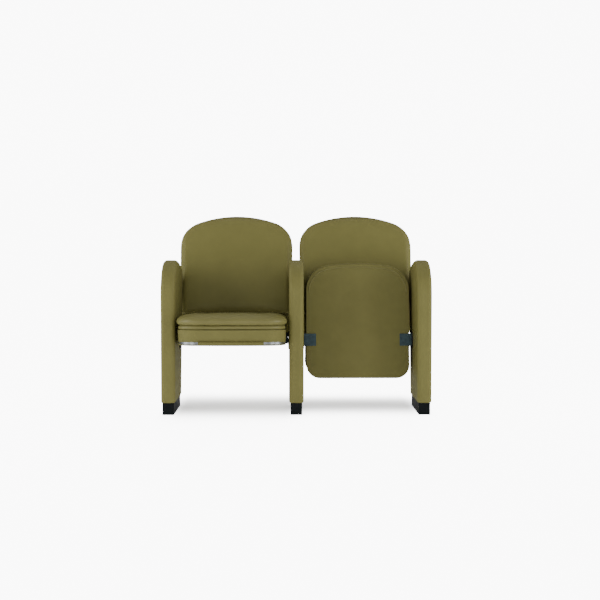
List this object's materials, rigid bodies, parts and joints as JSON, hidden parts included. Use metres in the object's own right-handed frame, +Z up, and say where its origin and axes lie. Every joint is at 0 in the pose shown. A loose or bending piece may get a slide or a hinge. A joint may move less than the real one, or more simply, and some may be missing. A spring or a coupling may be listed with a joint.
{
  "type": "tip up auditorium seat",
  "caption": "A row of joined auditorium seats on upholstered standards, with padded backs, crowned cushions and seats that tip up on side pivots between curved stop slots.",
  "frame": {"origin": "on the floor under the middle standard, midway between its two anchor holes", "axes": "+X along the row to the right as a viewer in front sees it, +Y from the front to the back, +Z up"},
  "size_m": [1.166, 0.6855, 0.8619],
  "materials": {
    "plinth_black": "matte",
    "black_steel": "satin",
    "bright_steel": "satin",
    "rubber": "matte",
    "nylon": "matte",
    "slate_casting": "satin",
    "clad_tray": "satin",
    "soft_olive": "satin",
    "olive_panel": "satin",
    "olive_band": "satin",
    "olive_leather": "satin"
  },
  "bodies": {
    "standards_and_backs": {"left_back_bolts": "bright_steel", "left_back_left_bracket": "black_steel", "left_back_pad": "soft_olive", "left_back_rear_panel": "olive_panel", "left_back_right_bracket": "black_steel", "left_back_shell": "olive_panel", "left_edge_band": "olive_band", "left_plinth": "plinth_black", "left_standard_frame": "black_steel", "left_standard_left_panel": "olive_leather", "left_standard_right_panel": "olive_leather", "left_standard_right_pivot_pin": "bright_steel", "left_standard_right_pivot_plate": "black_steel", "left_standard_right_stop_buffers": "rubber", "middle_edge_band": "olive_band", "middle_plinth": "plinth_black", "middle_standard_frame": "black_steel", "middle_standard_left_panel": "olive_leather", "middle_standard_left_pivot_pin": "bright_steel", "middle_standard_left_pivot_plate": "black_steel", "middle_standard_left_stop_buffers": "rubber", "middle_standard_right_panel": "olive_leather", "middle_standard_right_pivot_pin": "bright_steel", "middle_standard_right_pivot_plate": "black_steel", "middle_standard_right_stop_buffers": "rubber", "right_back_bolts": "bright_steel", "right_back_left_bracket": "black_steel", "right_back_pad": "soft_olive", "right_back_rear_panel": "olive_panel", "right_back_right_bracket": "black_steel", "right_back_shell": "olive_panel", "right_edge_band": "olive_band", "right_plinth": "plinth_black", "right_standard_frame": "black_steel", "right_standard_left_panel": "olive_leather", "right_standard_left_pivot_pin": "bright_steel", "right_standard_left_pivot_plate": "black_steel", "right_standard_left_stop_buffers": "rubber", "right_standard_right_panel": "olive_leather"},
    "left_seat": {"left_seat_bushes": "nylon", "left_seat_cushion": "soft_olive", "left_seat_left_hinge_shoe": "slate_casting", "left_seat_right_hinge_shoe": "slate_casting", "left_seat_roll": "soft_olive", "left_seat_shoe_screws": "bright_steel", "left_seat_strap_frame": "bright_steel", "left_seat_tray": "clad_tray", "left_seat_underside_panel": "olive_panel"},
    "right_seat": {"right_seat_bushes": "nylon", "right_seat_cushion": "soft_olive", "right_seat_left_hinge_shoe": "slate_casting", "right_seat_right_hinge_shoe": "slate_casting", "right_seat_roll": "soft_olive", "right_seat_shoe_screws": "bright_steel", "right_seat_strap_frame": "bright_steel", "right_seat_tray": "clad_tray", "right_seat_underside_panel": "olive_panel"}
  },
  "joints": [
    {"name": "left_seat_tip", "type": "hinge", "parent": "standards_and_backs", "child": "left_seat", "pos_m": [-0.276, 0.07, 0.305], "axis": [-1, 0, 0], "range_deg": [0, 95]},
    {"name": "right_seat_tip", "type": "hinge", "parent": "standards_and_backs", "child": "right_seat", "pos_m": [0.276, 0.07, 0.305], "axis": [1, 0, 0], "range_deg": [0, 95]}
  ]
}
